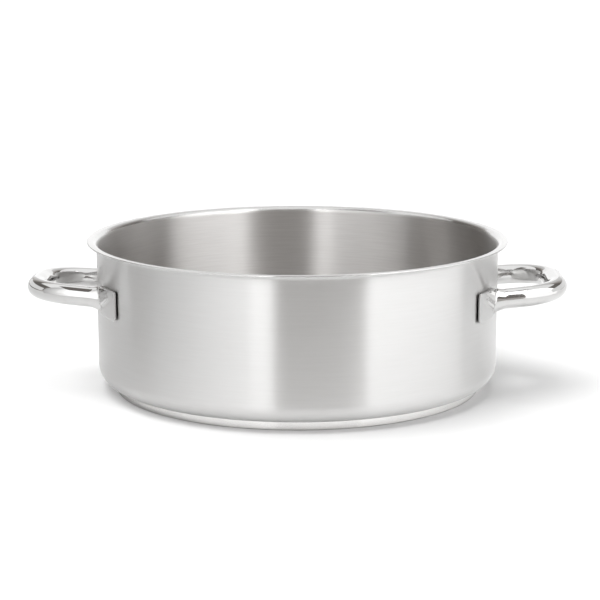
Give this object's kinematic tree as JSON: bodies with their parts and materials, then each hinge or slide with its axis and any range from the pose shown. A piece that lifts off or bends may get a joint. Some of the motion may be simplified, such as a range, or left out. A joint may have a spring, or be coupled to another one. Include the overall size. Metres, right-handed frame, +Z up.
{
  "type": "braiser",
  "caption": "Wide, low stainless steel pan with a straight wall, an outward pouring rim, a heat-spreading sandwich base and a tube loop handle on each side.",
  "frame": {"origin": "centre of the base, on the surface that the pan stands on", "axes": "+Z up through the open mouth, X through the two handles, -Y is the side that faces the viewer"},
  "size_m": [0.432, 0.337, 0.121],
  "materials": {
    "bowl_steel": "satin, brushed round the wall",
    "core_aluminium": "plain rolled",
    "cap_steel": "fine turned",
    "handle_steel": "mirror polished stainless"
  },
  "bodies": {
    "root": {"pan_body": "bowl_steel", "base_core": "core_aluminium", "base_cap": "cap_steel", "handle_left": "handle_steel", "handle_right": "handle_steel"}
  },
  "joints": []
}
